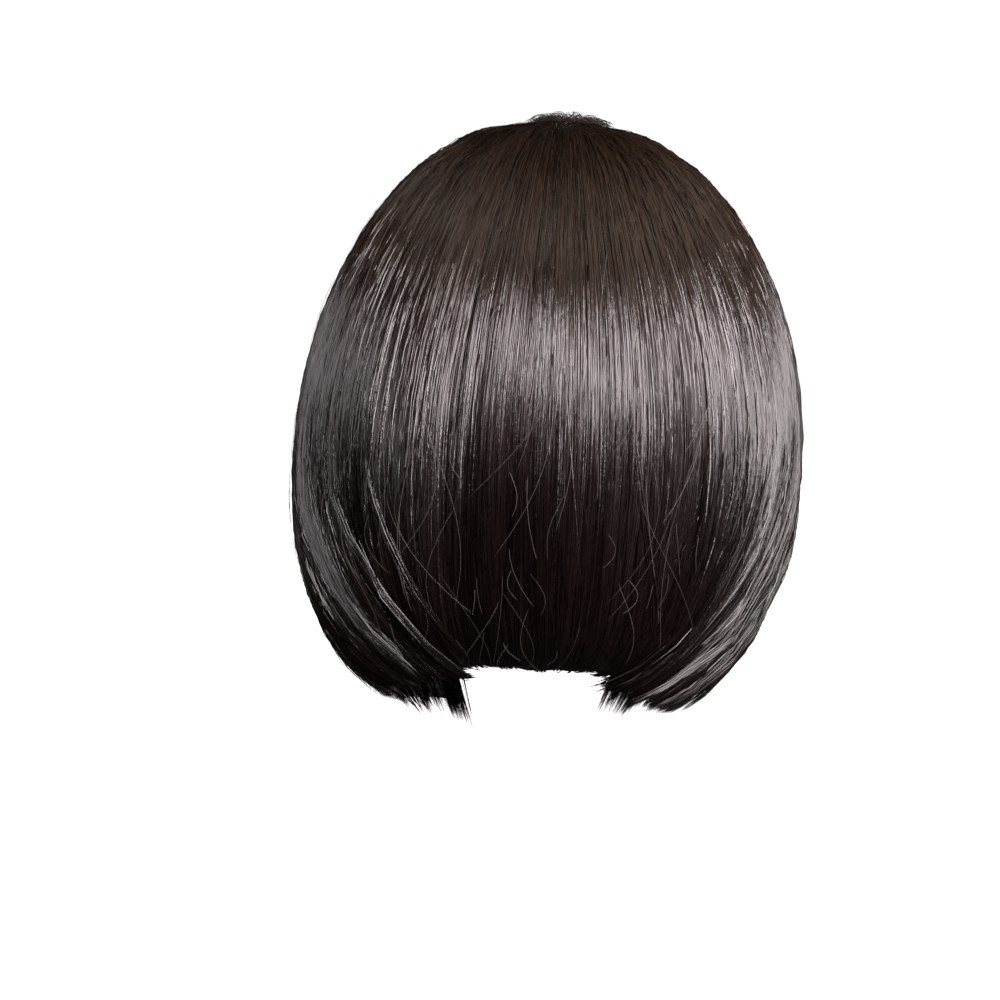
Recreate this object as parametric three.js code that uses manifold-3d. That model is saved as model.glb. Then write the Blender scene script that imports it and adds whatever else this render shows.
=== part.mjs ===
// A bob wig: a stretch cap that carries the hair in sections, each a thick wall of locks.
// The hair runs from the crown down to tips that tuck in, short at the nape and longer towards the face,
// with a fringe over the brow.
//
// Millimetres, +Z up. The wearer looks along -Y and the wearer's left is +X. The origin is on the inside
// of the cap at its crown, where the wig sits on the head.
import * as THREE from 'three';
import { mergeVertices } from 'three/addons/utils/BufferGeometryUtils.js';
import Module from 'manifold-3d';

const wasm = await Module();
wasm.setup();

// Driving sizes of the head that the cap fits, a 56 cm one.
const HEAD_WIDTH = 155;
const HEAD_LENGTH = 194;
const CROWN_HEIGHT = 95;
const NECK_WIDTH = 128;
const NECK_BACK = 70;
const NECK_FRONT = 84;
const NECK_DROP = 195;
const FORM_DEPTH = 330;

// Driving sizes of the cap.
const CAP_WALL = 1.5;
const CAP_NAPE_DROP = 183;

// Driving sizes of the hair: its depth over the head at the side, the back, the face and the crown, and
// how far its tips hang below the origin. DOME_FULLNESS is 1 for an elliptic dome and more for a squarer one.
// CROWN_FORWARD is how far before the head's axis all the hair meets.
const SIDE_DEPTH = 40.5;
const BACK_DEPTH = 25;
const FACE_DEPTH = 27;
const CROWN_DEPTH = 17;
const DOME_FULLNESS = 1.18;
const NAPE_DROP = 201;
const FRONT_DROP = 297;
const FRINGE_SIDE_DEPTH = 25.5;
const FRINGE_DEPTH = 15;
const FRINGE_DROP = 84;
const FRINGE_CORNER_DROP = 106;
const SECTION_WALL = 46;
const FACE_WALL = 20;
const NAPE_LAYER_WALL = 30;
const TIP_WALL = 4;
const LOCK_RELIEF = 3.2;
const LOCK_POINT = 9;
const CROWN_FORWARD = 45;
const CROWN_RADIUS = 8;
const TUFT_RISE = 5;

// Clearance between neighbouring pieces.
const GAP = 0.3;

// Fineness of the faceted surfaces.
const FORM_COLUMNS = 36;
const CROWN_ROWS = 9;
const NECK_ROWS = 7;
const COLUMNS_PER_LOCK = 4;
const SECTION_ROWS = 12;
const FRINGE_ROWS = 8;
const NAPE_LAYER_ROWS = 3;
const NAPE_LAYER_PAST = 1;

// Where the cap's edge runs, by azimuth from the back of the head: its drop as a share of CAP_NAPE_DROP.
// It is low at the nape, rises over the ear, dips at the ear tab and rises to the hairline.
const CAP_EDGE = [
  { azimuth: 0, drop: 1.0 },
  { azimuth: 25, drop: 0.99 },
  { azimuth: 48, drop: 0.83 },
  { azimuth: 72, drop: 0.63 },
  { azimuth: 88, drop: 0.62 },
  { azimuth: 104, drop: 0.72 },
  { azimuth: 122, drop: 0.55 },
  { azimuth: 150, drop: 0.34 },
  { azimuth: 180, drop: 0.29 },
];

// The long hair, a row for each azimuth, right of the wearer negative:
// fullness is its greatest reach as a share of the head's outline moved out by SIDE_DEPTH, BACK_DEPTH and
// FACE_DEPTH, widest is where that reach lies as a share of the drop, hem is the drop of the tips as a
// share of the way from NAPE_DROP to FRONT_DROP, and tuck is the reach of the tips as a share of the
// greatest reach.
const LONG_HAIR = [
  { azimuth: -142, fullness: 0.93, widest: 0.43, hem: 0.89, tuck: 0.61 },
  { azimuth: -115, fullness: 0.955, widest: 0.49, hem: 0.74, tuck: 0.59 },
  { azimuth: -90, fullness: 0.975, widest: 0.55, hem: 0.58, tuck: 0.59 },
  { azimuth: -60, fullness: 0.98, widest: 0.515, hem: 0.33, tuck: 0.62 },
  { azimuth: -30, fullness: 0.99, widest: 0.53, hem: 0.07, tuck: 0.68 },
  { azimuth: 0, fullness: 1.0, widest: 0.53, hem: 0.0, tuck: 0.69 },
  { azimuth: 30, fullness: 0.99, widest: 0.54, hem: 0.06, tuck: 0.69 },
  { azimuth: 60, fullness: 0.985, widest: 0.56, hem: 0.29, tuck: 0.67 },
  { azimuth: 90, fullness: 0.985, widest: 0.63, hem: 0.56, tuck: 0.66 },
  { azimuth: 115, fullness: 0.97, widest: 0.55, hem: 0.82, tuck: 0.62 },
  { azimuth: 142, fullness: 0.93, widest: 0.42, hem: 1.0, tuck: 0.64 },
];

// The fringe, with the same columns: fullness follows FRINGE_SIDE_DEPTH and FRINGE_DEPTH, and hem runs
// from FRINGE_DROP to FRINGE_CORNER_DROP.
const FRINGE_HAIR = [
  { azimuth: 142, fullness: 0.92, widest: 0.76, hem: 1.0, tuck: 0.93 },
  { azimuth: 160, fullness: 0.98, widest: 0.84, hem: 0.3, tuck: 0.95 },
  { azimuth: 180, fullness: 1.0, widest: 0.86, hem: 0.0, tuck: 0.96 },
  { azimuth: 200, fullness: 0.98, widest: 0.84, hem: 0.3, tuck: 0.95 },
  { azimuth: 218, fullness: 0.92, widest: 0.76, hem: 1.0, tuck: 0.93 },
];

// The sections of hair between two azimuths, and the number of locks in each.
const SECTIONS = [
  { name: 'hair_back', from: -66, to: 66, locks: 11 },
  { name: 'hair_side_left', from: 66, to: 112, locks: 4 },
  { name: 'hair_side_right', from: -112, to: -66, locks: 4 },
  { name: 'front_lock_left', from: 112, to: 142, locks: 3 },
  { name: 'front_lock_right', from: -142, to: -112, locks: 3 },
];
const FRINGE_SECTION = { name: 'fringe', from: 142, to: 218, locks: 8 };
const NAPE_SECTION = { name: 'nape_layer', from: -54, to: 54, locks: 9 };

// Shares of a strand's way from the crown to its tip.
const WIDEST_AT = 0.62;
const THINS_FROM = 0.5;
const POINTS_FROM = 0.8;
const TUCK_ANGLE = THREE.MathUtils.degToRad(62);

// Azimuths from the back between which the hair thins towards the face.
const THICK_TO = 95;
const FACE_AT = 142;

// Shares for the dome: the widest level of the fringe and the back, and where the forward shift fades out.
const FRINGE_DOME = 0.86;
const BACK_DOME = 0.53;
const FADES_AT = 0.92;

const { lerp, degToRad, radToDeg, smoothstep, clamp } = THREE.MathUtils;

// A smooth function of azimuth through the rows of a table, giving an object with the table's columns.
function through(rows) {
  const columns = Object.keys(rows[0]).filter((key) => key !== 'azimuth');
  const places = rows.map((row) => row.azimuth);
  const values = rows.flatMap((row) => columns.map((key) => row[key]));
  const curve = new THREE.CubicInterpolant(places, values, columns.length);
  return (azimuth) => {
    const found = curve.evaluate(clamp(azimuth, places[0], places[places.length - 1]));
    return Object.fromEntries(columns.map((key, i) => [key, found[i]]));
  };
}

// The radius of an egg-shaped outline at an azimuth measured from the back.
function eggRadius(azimuth, width, back, front) {
  const across = Math.sin(degToRad(azimuth)) / (width / 2);
  const along = Math.cos(degToRad(azimuth));
  return 1 / Math.hypot(across, along / (along > 0 ? back : front));
}

// The point at an azimuth, radius and height.
function place(azimuth, radius, height) {
  const turn = degToRad(azimuth);
  return new THREE.Vector3(radius * Math.sin(turn), radius * Math.cos(turn), height);
}

// The head's surface moved out by an offset. way runs from 0 at the crown to 1 at the widest level and
// on to 2 at the foot of the form.
function headPoint(azimuth, way, offset) {
  const reach = eggRadius(azimuth, HEAD_WIDTH, HEAD_LENGTH / 2, HEAD_LENGTH / 2);
  if (way <= 1) {
    const angle = (way * Math.PI) / 2;
    const height = (CROWN_HEIGHT + offset) * Math.cos(angle) - CROWN_HEIGHT;
    return place(azimuth, (reach + offset) * Math.sin(angle), height);
  }
  const height = lerp(-CROWN_HEIGHT, -FORM_DEPTH, way - 1);
  const neck = eggRadius(azimuth, NECK_WIDTH, NECK_BACK, NECK_FRONT);
  const narrowing = smoothstep(-height, CROWN_HEIGHT, NECK_DROP);
  return place(azimuth, lerp(reach, neck, narrowing) + offset, height);
}

// A strand of a style of hair at an azimuth, as its radius and height at a share of its way to the tip.
function strandPoint(style, azimuth, way) {
  const row = style.rows(azimuth);
  const reach = eggRadius(azimuth, style.width, style.back, style.front) * row.fullness;
  const hem = -lerp(style.shortDrop, style.longDrop, row.hem);
  const widest = hem * row.widest;
  if (way < WIDEST_AT) {
    const angle = (way / WIDEST_AT) * (Math.PI / 2);
    const height = CROWN_DEPTH - (CROWN_DEPTH - widest) * (1 - Math.cos(angle));
    return { radius: reach * Math.sin(angle) ** (1 / DOME_FULLNESS), height };
  }
  const angle = ((way - WIDEST_AT) / (1 - WIDEST_AT)) * TUCK_ANGLE;
  const inward = (1 - Math.cos(angle)) / (1 - Math.cos(TUCK_ANGLE));
  const down = Math.sin(angle) / Math.sin(TUCK_ANGLE);
  return { radius: reach * (1 - (1 - row.tuck) * inward), height: lerp(widest, hem, down) };
}

// The share of a strand's way at which its section begins, inside the crown hole that is then cut.
function startOf(style, azimuth) {
  const reach = eggRadius(azimuth, style.width, style.back, style.front) * style.rows(azimuth).fullness;
  return (WIDEST_AT * Math.asin(((0.8 * CROWN_RADIUS) / reach) ** DOME_FULLNESS)) / (Math.PI / 2);
}

// The thickness of the hair, down to the cap behind the ears and thinner by the face and at the tips.
function wallAt(azimuth, way) {
  const root = lerp(SECTION_WALL, FACE_WALL, smoothstep(Math.abs(azimuth), THICK_TO, FACE_AT));
  return lerp(root, TIP_WALL, clamp((way - THINS_FROM) / (1 - THINS_FROM), 0, 1));
}

// A strand's point moved in by a depth, towards the head's centre above its widest level and
// towards the axis below it.
function sunk(strand, depth) {
  const centre = Math.min(strand.height, -CROWN_HEIGHT);
  const length = Math.hypot(strand.radius, strand.height - centre);
  return {
    radius: strand.radius * (1 - depth / length),
    height: lerp(strand.height, centre, depth / length),
  };
}

// The height of the hair's dome over a point of the plan.
function domeHeight(x, y) {
  const azimuth = radToDeg(Math.atan2(x, y));
  const front = HEAD_LENGTH / 2 + FRINGE_DEPTH;
  const reach = eggRadius(azimuth, HEAD_WIDTH + 2 * SIDE_DEPTH, HEAD_LENGTH / 2 + BACK_DEPTH, front);
  const share = Math.min(Math.hypot(x, y) / reach, 1) ** DOME_FULLNESS;
  const widest = lerp(FRINGE_DOME * FRINGE_DROP, BACK_DOME * NAPE_DROP, (1 + Math.cos(degToRad(azimuth))) / 2);
  return CROWN_DEPTH - (CROWN_DEPTH + widest) * (1 - Math.sqrt(1 - share * share));
}

// A point of the hair moved forward over the dome, so that all strands meet before the head's axis.
// The shift fades out towards the edge of the dome and towards the widest level of the head.
function combedForward(point) {
  const azimuth = radToDeg(Math.atan2(point.x, point.y));
  const front = HEAD_LENGTH / 2 + FRINGE_DEPTH;
  const edge = FADES_AT * eggRadius(azimuth, HEAD_WIDTH + 2 * FRINGE_SIDE_DEPTH, HEAD_LENGTH / 2, front);
  const share = Math.min(Math.hypot(point.x, point.y) / edge, 1);
  const lift = smoothstep(point.z, -CROWN_HEIGHT, -CROWN_HEIGHT / 4);
  const y = point.y - CROWN_FORWARD * (1 - share * share) ** 2 * lift;
  const rise = domeHeight(point.x, y) - domeHeight(point.x, point.y);
  return new THREE.Vector3(point.x, y, point.z + rise * lift);
}

// A geometry with its points moved forward in the same way.
function geometryForward(geometry) {
  const position = geometry.attributes.position;
  const point = new THREE.Vector3();
  for (let i = 0; i < position.count; i++) {
    const moved = combedForward(point.fromBufferAttribute(position, i));
    position.setXYZ(i, moved.x, moved.y, moved.z);
  }
  return geometry;
}

// A geometry from points and triangles.
function meshOf(points, faces) {
  const geometry = new THREE.BufferGeometry();
  const position = new Float32Array(points.flatMap((p) => [p.x, p.y, p.z]));
  geometry.setAttribute('position', new THREE.BufferAttribute(position, 3));
  geometry.setIndex(faces.flat());
  return geometry;
}

// A closed wall between an outer and an inner surface, each a function of the column's and row's share.
function wallMesh(columns, rows, outerAt, innerAt) {
  const points = [];
  for (const surface of [outerAt, innerAt]) {
    for (let j = 0; j <= rows; j++) {
      for (let i = 0; i <= columns; i++) points.push(surface(i / columns, j / rows));
    }
  }
  const outer = (i, j) => j * (columns + 1) + i;
  const inner = (i, j) => outer(i, j) + (columns + 1) * (rows + 1);
  const faces = [];
  const quad = (a, b, c, d) => faces.push([a, b, c], [a, c, d]);
  for (let j = 0; j < rows; j++) {
    for (let i = 0; i < columns; i++) {
      quad(outer(i, j), outer(i + 1, j), outer(i + 1, j + 1), outer(i, j + 1));
      quad(inner(i, j), inner(i, j + 1), inner(i + 1, j + 1), inner(i + 1, j));
    }
  }
  for (let i = 0; i < columns; i++) {
    quad(outer(i, 0), inner(i, 0), inner(i + 1, 0), outer(i + 1, 0));
    quad(outer(i, rows), outer(i + 1, rows), inner(i + 1, rows), inner(i, rows));
  }
  for (let j = 0; j < rows; j++) {
    quad(outer(0, j), outer(0, j + 1), inner(0, j + 1), inner(0, j));
    quad(outer(columns, j), inner(columns, j), inner(columns, j + 1), outer(columns, j + 1));
  }
  return meshOf(points, faces);
}

// A closed body of rings round the axis, from a top point to a bottom point. Each ring is a function of
// azimuth.
function ringMesh(columns, top, rings, bottom) {
  const points = [top];
  for (const ring of rings) {
    for (let i = 0; i < columns; i++) points.push(ring((360 * i) / columns));
  }
  points.push(bottom);
  const at = (i, j) => 1 + j * columns + (i % columns);
  const faces = [];
  for (let i = 0; i < columns; i++) {
    faces.push([0, at(i + 1, 0), at(i, 0)]);
    for (let j = 0; j + 1 < rings.length; j++) {
      faces.push([at(i, j), at(i + 1, j), at(i + 1, j + 1)], [at(i, j), at(i + 1, j + 1), at(i, j + 1)]);
    }
    faces.push([points.length - 1, at(i, rings.length - 1), at(i + 1, rings.length - 1)]);
  }
  return meshOf(points, faces);
}

// The solid of a closed geometry, for joining and cutting.
function solidOf(geometry) {
  const bare = geometry.clone().deleteAttribute('normal').deleteAttribute('uv');
  const merged = mergeVertices(bare, 1e-4);
  return new wasm.Manifold(
    new wasm.Mesh({
      numProp: 3,
      vertProperties: merged.attributes.position.array,
      triVerts: new Uint32Array(merged.index.array),
    }),
  );
}

// The geometry of a solid.
function geometryOf(solid) {
  const mesh = solid.getMesh();
  const geometry = new THREE.BufferGeometry();
  geometry.setAttribute('position', new THREE.BufferAttribute(mesh.vertProperties, 3));
  geometry.setIndex(new THREE.BufferAttribute(mesh.triVerts, 1));
  geometry.computeVertexNormals();
  return geometry;
}

// The head and neck moved out by an offset, as a closed form.
function headForm(offset) {
  const rings = [];
  for (let j = 1; j <= CROWN_ROWS + NECK_ROWS; j++) {
    const way = j <= CROWN_ROWS ? j / CROWN_ROWS : 1 + (j - CROWN_ROWS) / NECK_ROWS;
    rings.push((azimuth) => headPoint(azimuth, way, offset));
  }
  const top = new THREE.Vector3(0, 0, offset);
  const bottom = new THREE.Vector3(0, 0, -FORM_DEPTH);
  return solidOf(ringMesh(FORM_COLUMNS, top, rings, bottom));
}

// What lies below the cap's edge.
function belowCapEdge() {
  const edge = through(CAP_EDGE);
  const heightAt = (azimuth) => -CAP_NAPE_DROP * edge(Math.min(azimuth, 360 - azimuth)).drop;
  const inside = 0.1 * HEAD_WIDTH;
  const outside = HEAD_LENGTH;
  const rings = [
    (azimuth) => place(azimuth, inside, heightAt(azimuth)),
    (azimuth) => place(azimuth, outside, heightAt(azimuth)),
    (azimuth) => place(azimuth, outside, -2 * FORM_DEPTH),
  ];
  const top = new THREE.Vector3(0, 0, heightAt(90));
  const bottom = new THREE.Vector3(0, 0, -2 * FORM_DEPTH);
  return solidOf(ringMesh(2 * FORM_COLUMNS, top, rings, bottom));
}

// The cap: an even wall over the head, cut along its edge.
function cap() {
  return headForm(CAP_WALL).subtract(headForm(0)).subtract(belowCapEdge());
}

// A section's outer or inner surface. Locks are crests between sharp valleys, and end in points. The
// section stays clear of its neighbours by the gap, or with a clearance below 0 reaches into them.
function lockSurface(section, style, wayAt, depthAt, relief, clearance = GAP) {
  return (across, down) => {
    const azimuth = lerp(section.from, section.to, across);
    const way = wayAt(azimuth, down);
    const crest = Math.abs(Math.sin(Math.PI * section.locks * across));
    const strand = strandPoint(style, azimuth, way);
    const depth = depthAt(azimuth, way) + relief * (1 - crest) * smoothstep(way, 0.1, 0.5);
    const { radius, height } = sunk(strand, depth);
    const point = LOCK_POINT * (1 - crest) * smoothstep(way, POINTS_FROM, 1);
    const gapTurn = radToDeg(((clearance / 2) * (1 - 2 * across)) / radius);
    return combedForward(place(azimuth + gapTurn, radius, height + point));
  };
}

// An upright column of a radius where the hair meets.
function crownColumn(radius, from, to) {
  const column = new THREE.CylinderGeometry(radius, radius, to - from, 18);
  return solidOf(geometryForward(column.rotateX(Math.PI / 2).translate(0, 0, (from + to) / 2)));
}

// The wall of fused locks of a section, from the crown to the tips.
function lockWall(section, style, rows, clearance) {
  const wayAt = (azimuth, down) => lerp(startOf(style, azimuth), 1, down);
  const outer = lockSurface(section, style, wayAt, () => 0, LOCK_RELIEF, clearance);
  const inner = lockSurface(section, style, wayAt, wallAt, 0, clearance);
  return solidOf(wallMesh(section.locks * COLUMNS_PER_LOCK, rows, outer, inner));
}

// A section of hair over the cap.
function hairSection(section, style, rows) {
  const hole = crownColumn(CROWN_RADIUS, -CROWN_HEIGHT / 4, 2 * CROWN_DEPTH);
  return lockWall(section, style, rows, GAP).subtract(headForm(CAP_WALL + GAP)).subtract(hole);
}

// The fringe, cut back beside the front locks.
function fringe(style, besideStyle) {
  let hair = hairSection(FRINGE_SECTION, style, FRINGE_ROWS);
  for (const section of SECTIONS.filter(({ name }) => name.startsWith('front_lock'))) {
    hair = hair.subtract(lockWall(section, besideStyle, SECTION_ROWS, -GAP));
  }
  return hair;
}

// The short layer at the nape, close under the back hair and past its tips. Its locks and rows run on
// those of the back hair, so the two stay apart by the gap.
function napeLayer(style) {
  const rowAt = (down) => lerp(SECTION_ROWS - NAPE_LAYER_ROWS, SECTION_ROWS + NAPE_LAYER_PAST, down);
  const wayAt = (azimuth, down) => lerp(startOf(style, azimuth), 1, rowAt(down) / SECTION_ROWS);
  const under = (azimuth, way) => wallAt(azimuth, way) + GAP;
  const taper = (way) => lerp(NAPE_LAYER_WALL, TIP_WALL / 2, smoothstep(way, POINTS_FROM, 1));
  const over = (azimuth, way) => under(azimuth, way) + taper(way);
  const outer = lockSurface(NAPE_SECTION, style, wayAt, under, TIP_WALL / 4);
  const inner = lockSurface(NAPE_SECTION, style, wayAt, over, 0);
  const rows = NAPE_LAYER_ROWS + NAPE_LAYER_PAST;
  const wall = wallMesh(NAPE_SECTION.locks * COLUMNS_PER_LOCK, rows, outer, inner);
  return solidOf(wall).subtract(headForm(CAP_WALL + GAP));
}

// The short hairs that stand up where the hair meets: a plug of hair in the hole, with small locks.
function crownTuft() {
  const radius = CROWN_RADIUS - GAP;
  let tuft = crownColumn(radius, -CROWN_HEIGHT / 4, CROWN_DEPTH);
  const locks = 7;
  for (let i = 0; i < locks; i++) {
    const lean = 0.45 + 0.2 * Math.sin(2.1 * i);
    const lock = new THREE.ConeGeometry(0.28 * radius, 2 * TUFT_RISE, 6);
    lock.rotateX(Math.PI / 2).rotateY(lean).translate(0.5 * radius, 0, CROWN_DEPTH);
    tuft = tuft.add(solidOf(geometryForward(lock.rotateZ((2 * Math.PI * i) / locks))));
  }
  return tuft.subtract(headForm(CAP_WALL + GAP));
}

// Finishes.
const hairMaterial = new THREE.MeshStandardMaterial({ color: 0x2b2122, roughness: 0.42, metalness: 0 });
const underHairMaterial = new THREE.MeshStandardMaterial({ color: 0x1f1718, roughness: 0.55, metalness: 0 });
const capMaterial = new THREE.MeshStandardMaterial({ color: 0x1a1717, roughness: 0.85, metalness: 0 });

const longStyle = {
  rows: through(LONG_HAIR),
  width: HEAD_WIDTH + 2 * SIDE_DEPTH,
  back: HEAD_LENGTH / 2 + BACK_DEPTH,
  front: HEAD_LENGTH / 2 + FACE_DEPTH,
  shortDrop: NAPE_DROP,
  longDrop: FRONT_DROP,
};
const fringeStyle = {
  rows: through(FRINGE_HAIR),
  width: HEAD_WIDTH + 2 * FRINGE_SIDE_DEPTH,
  back: HEAD_LENGTH / 2,
  front: HEAD_LENGTH / 2 + FRINGE_DEPTH,
  shortDrop: FRINGE_DROP,
  longDrop: FRINGE_CORNER_DROP,
};

const wig = new THREE.Group();

function addPiece(name, solid, material) {
  const mesh = new THREE.Mesh(geometryOf(solid), material);
  mesh.name = name;
  wig.add(mesh);
}

addPiece('cap', cap(), capMaterial);
for (const section of SECTIONS) {
  addPiece(section.name, hairSection(section, longStyle, SECTION_ROWS), hairMaterial);
}
addPiece(FRINGE_SECTION.name, fringe(fringeStyle, longStyle), hairMaterial);
addPiece(NAPE_SECTION.name, napeLayer(longStyle), underHairMaterial);
addPiece('crown_tuft', crownTuft(), hairMaterial);

export default wig;
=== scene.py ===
# A dark bob wig, dressed over its cap: hair combed from the crown in fine strands, tucked under at the tips.
# Metres, +Z up. The wearer looks along -Y, so the camera stands at +Y and sees the back of the wig.
import math

import bpy
import numpy as np
from mathutils import Matrix, Vector


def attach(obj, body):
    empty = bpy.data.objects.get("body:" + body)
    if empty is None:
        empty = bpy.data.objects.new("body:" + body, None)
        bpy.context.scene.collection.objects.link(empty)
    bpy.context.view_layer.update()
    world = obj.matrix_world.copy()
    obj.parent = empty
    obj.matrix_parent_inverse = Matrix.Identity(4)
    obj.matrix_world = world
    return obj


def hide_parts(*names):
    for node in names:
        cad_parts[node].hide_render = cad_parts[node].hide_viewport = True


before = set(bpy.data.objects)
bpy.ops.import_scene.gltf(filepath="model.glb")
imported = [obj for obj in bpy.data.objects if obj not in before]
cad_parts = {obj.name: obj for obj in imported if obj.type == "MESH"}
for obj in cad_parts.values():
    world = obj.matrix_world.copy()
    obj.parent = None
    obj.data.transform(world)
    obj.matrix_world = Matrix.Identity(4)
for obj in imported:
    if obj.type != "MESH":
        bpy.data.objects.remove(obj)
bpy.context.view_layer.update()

# The camera stands behind the wig and about 22 degrees above it, and leans a little to one side.
MIDDLE = Vector((0, 0, -0.163))
ELEVATION = math.radians(22)
DISTANCE = 0.80
LEAN = math.radians(2.7)
LENS_MM = 62.2
AIM_RIGHT = -0.0199
AIM_UP = 0.0083
stand = MIDDLE + DISTANCE * Vector((0, math.cos(ELEVATION), math.sin(ELEVATION)))
level = (MIDDLE - stand).cross(Vector((0, 0, 1))).normalized()
upright = level.cross(MIDDLE - stand).normalized()
right = level * math.cos(LEAN) + upright * math.sin(LEAN)
up = upright * math.cos(LEAN) - level * math.sin(LEAN)
ahead = (MIDDLE + right * AIM_RIGHT + up * AIM_UP - stand).normalized()
right = ahead.cross(up).normalized()
up = right.cross(ahead)
camera_data = bpy.data.cameras.new("camera")
camera_data.lens = LENS_MM
camera = bpy.data.objects.new("camera", camera_data)
bpy.context.scene.collection.objects.link(camera)
turn = Matrix((right, up, -ahead)).transposed().to_4x4()
camera.matrix_world = Matrix.Translation(stand) @ turn
bpy.context.scene.camera = camera


# The cap is a bowl of stretch net that grips the head. It dips to the nape and to a tab before each ear,
# and rises to the hairline. It is 1.5 mm thick, with the hair sewn to its outside.
HEAD_WIDTH = 0.155
HEAD_LENGTH = 0.194
CROWN_HEIGHT = 0.095
NECK_WIDTH = 0.128
NECK_BACK = 0.070
NECK_FRONT = 0.084
NECK_DROP = 0.195
CAP_WALL = 0.0015
CAP_NAPE_DROP = 0.183
CAP_CUT_ANGLE = math.radians(120)
CAP_CLEARANCE = CAP_WALL + 0.0003
CAP_EDGE_AZIMUTH = (0, 25, 48, 72, 88, 104, 122, 150, 180)
CAP_EDGE_DROP = (1.0, 0.99, 0.83, 0.63, 0.62, 0.72, 0.55, 0.34, 0.29)


def smooth(low, high, value):
    share = np.clip((value - low) / (high - low), 0, 1)
    return share * share * (3 - 2 * share)


def through(places, values, place):
    """A smooth curve through the values at the places."""
    places = np.asarray(places, float)
    values = np.asarray(values, float)
    slopes = np.diff(values) / np.diff(places)
    tangents = np.concatenate(([slopes[0]], (slopes[1:] + slopes[:-1]) / 2, [slopes[-1]]))
    place = np.clip(place, places[0], places[-1])
    i = np.clip(np.searchsorted(places, place) - 1, 0, len(slopes) - 1)
    span = places[i + 1] - places[i]
    t = (place - places[i]) / span
    start = values[i] * (2 * t**3 - 3 * t**2 + 1) + tangents[i] * span * (t**3 - 2 * t**2 + t)
    end = values[i + 1] * (3 * t**2 - 2 * t**3) + tangents[i + 1] * span * (t**3 - t**2)
    return start + end


def egg(azimuth, width, back, front):
    """The radius of an egg-shaped outline, by azimuth from the back."""
    turned = np.radians(azimuth)
    depth = np.where(np.cos(turned) > 0, back, front)
    return 1 / np.hypot(np.sin(turned) / (width / 2), np.cos(turned) / depth)


def place(azimuth, radius, height):
    turned = np.radians(azimuth)
    return np.stack((radius * np.sin(turned), radius * np.cos(turned), height), axis=-1)


def head_radius(azimuth, height, offset):
    """How far the head or neck, moved out by an offset, reaches at a height."""
    reach = egg(azimuth, HEAD_WIDTH, HEAD_LENGTH / 2, HEAD_LENGTH / 2)
    lift = np.clip((height + CROWN_HEIGHT) / (CROWN_HEIGHT + offset), 0, 1)
    dome = (reach + offset) * np.sqrt(1 - lift**2)
    neck = egg(azimuth, NECK_WIDTH, NECK_BACK, NECK_FRONT)
    column = reach + (neck - reach) * smooth(CROWN_HEIGHT, NECK_DROP, -height) + offset
    return np.where(height > -CROWN_HEIGHT, dome, column)


def points_of(mesh):
    flat = np.empty(3 * len(mesh.vertices))
    mesh.vertices.foreach_get("co", flat)
    return flat.reshape(-1, 3)


def node_tree(name):
    material = bpy.data.materials.new(name)
    material.use_nodes = True
    return material, material.node_tree.nodes, material.node_tree.links


bpy.ops.object.select_all(action="DESELECT")
bpy.ops.mesh.primitive_uv_sphere_add(segments=96, ring_count=54, radius=1)
cap = bpy.context.active_object
cap.name = "wig_cap"
bpy.ops.object.mode_set(mode="EDIT")
bpy.ops.mesh.select_all(action="DESELECT")
bpy.ops.object.mode_set(mode="OBJECT")
for vertex in cap.data.vertices:
    vertex.select = vertex.co.z < math.cos(CAP_CUT_ANGLE) - 0.01
bpy.ops.object.mode_set(mode="EDIT")
bpy.ops.mesh.delete(type="VERT")
bpy.ops.object.mode_set(mode="OBJECT")
ball = points_of(cap.data)
cap_azimuth = np.degrees(np.arctan2(ball[:, 0], ball[:, 1]))
cap_share = np.arccos(np.clip(ball[:, 2], -1, 1)) / CAP_CUT_ANGLE
edge_drop = CAP_NAPE_DROP * through(CAP_EDGE_AZIMUTH, CAP_EDGE_DROP, np.abs(cap_azimuth))
dome_way = np.arccos(np.clip(1 - edge_drop / CROWN_HEIGHT, 0, 1)) / (math.pi / 2)
edge_way = np.where(edge_drop < CROWN_HEIGHT, dome_way, edge_drop / CROWN_HEIGHT)
cap_way = cap_share * edge_way
dome_angle = np.clip(cap_way, 0, 1) * math.pi / 2
cap_height = np.where(cap_way < 1, CROWN_HEIGHT * (np.cos(dome_angle) - 1), -cap_way * CROWN_HEIGHT)
cap_radius = head_radius(cap_azimuth, cap_height, 0)
cap.data.vertices.foreach_set("co", place(cap_azimuth, cap_radius, cap_height).ravel())
wall = cap.modifiers.new("wall", "SOLIDIFY")
wall.thickness = CAP_WALL
wall.offset = 1
bpy.ops.object.modifier_apply(modifier=wall.name)
bpy.ops.object.shade_smooth()

# Stretch net: a fine mesh of dark threads with the sewn rows of the hair showing through it.
net, nodes, links = node_tree("stretch_net")
net_shader = nodes["Principled BSDF"]
net_shader.inputs["Roughness"].default_value = 0.8
net_shader.inputs["Sheen Weight"].default_value = 0.25
net_coords = nodes.new("ShaderNodeTexCoord")
net_threads = nodes.new("ShaderNodeTexVoronoi")
net_threads.feature = "DISTANCE_TO_EDGE"
net_threads.inputs["Scale"].default_value = 900
links.new(net_coords.outputs["Object"], net_threads.inputs["Vector"])
net_rows = nodes.new("ShaderNodeTexWave")
net_rows.bands_direction = "Z"
net_rows.inputs["Scale"].default_value = 26
net_rows.inputs["Distortion"].default_value = 0.6
links.new(net_coords.outputs["Object"], net_rows.inputs["Vector"])
net_shade = nodes.new("ShaderNodeValToRGB")
net_shade.color_ramp.elements[0].color = (0.018, 0.015, 0.015, 1)
net_shade.color_ramp.elements[1].color = (0.006, 0.005, 0.005, 1)
net_shade.color_ramp.elements[1].position = 0.12
links.new(net_threads.outputs["Distance"], net_shade.inputs["Fac"])
net_mix = nodes.new("ShaderNodeMix")
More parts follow.
